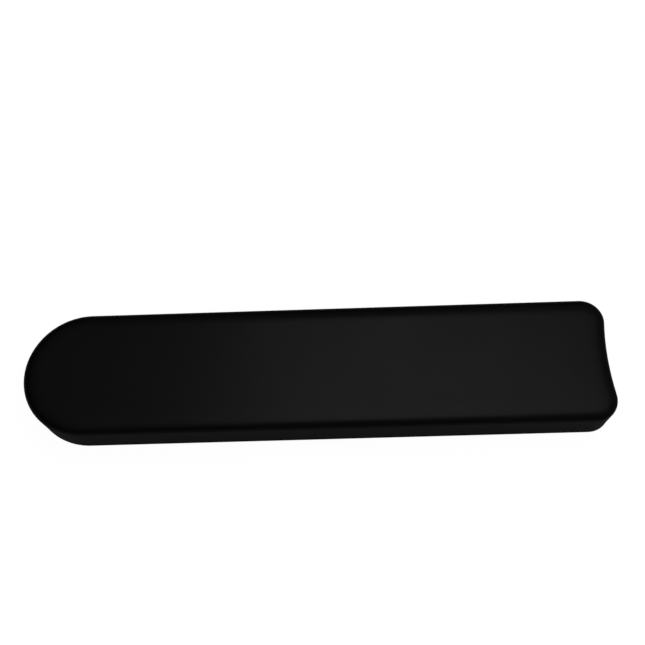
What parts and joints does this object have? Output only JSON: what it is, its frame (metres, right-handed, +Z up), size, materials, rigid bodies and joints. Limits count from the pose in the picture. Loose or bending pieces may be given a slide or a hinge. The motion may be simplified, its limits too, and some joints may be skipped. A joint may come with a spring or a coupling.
{
  "type": "chair armrest pad",
  "caption": "Moulded soft armrest pad with a round front end and a hollowed rear end, over a plywood insert with tee nuts for fixing screws",
  "frame": {"origin": "Centre of the underside, on the surface that the pad rests on or is bolted to.", "axes": "+X towards the hollowed rear end, along the pad; +Y across it, to the left when looking from the front end to the rear; +Z up, out of the soft top face."},
  "size_m": [0.254, 0.0556, 0.022],
  "materials": {
    "black_skin": "satin",
    "soft_foam": "matte",
    "plywood": "matte",
    "zinc_steel": "satin",
    "cap_plastic": "satin"
  },
  "bodies": {
    "root": {"outer_skin": "black_skin", "foam_core": "soft_foam", "insert_board": "plywood", "tee_nut_1": "zinc_steel", "tee_nut_2": "zinc_steel", "tee_nut_3": "zinc_steel", "tee_nut_4": "zinc_steel", "thread_cap_1": "cap_plastic", "thread_cap_2": "cap_plastic", "thread_cap_3": "cap_plastic", "thread_cap_4": "cap_plastic"}
  },
  "joints": []
}
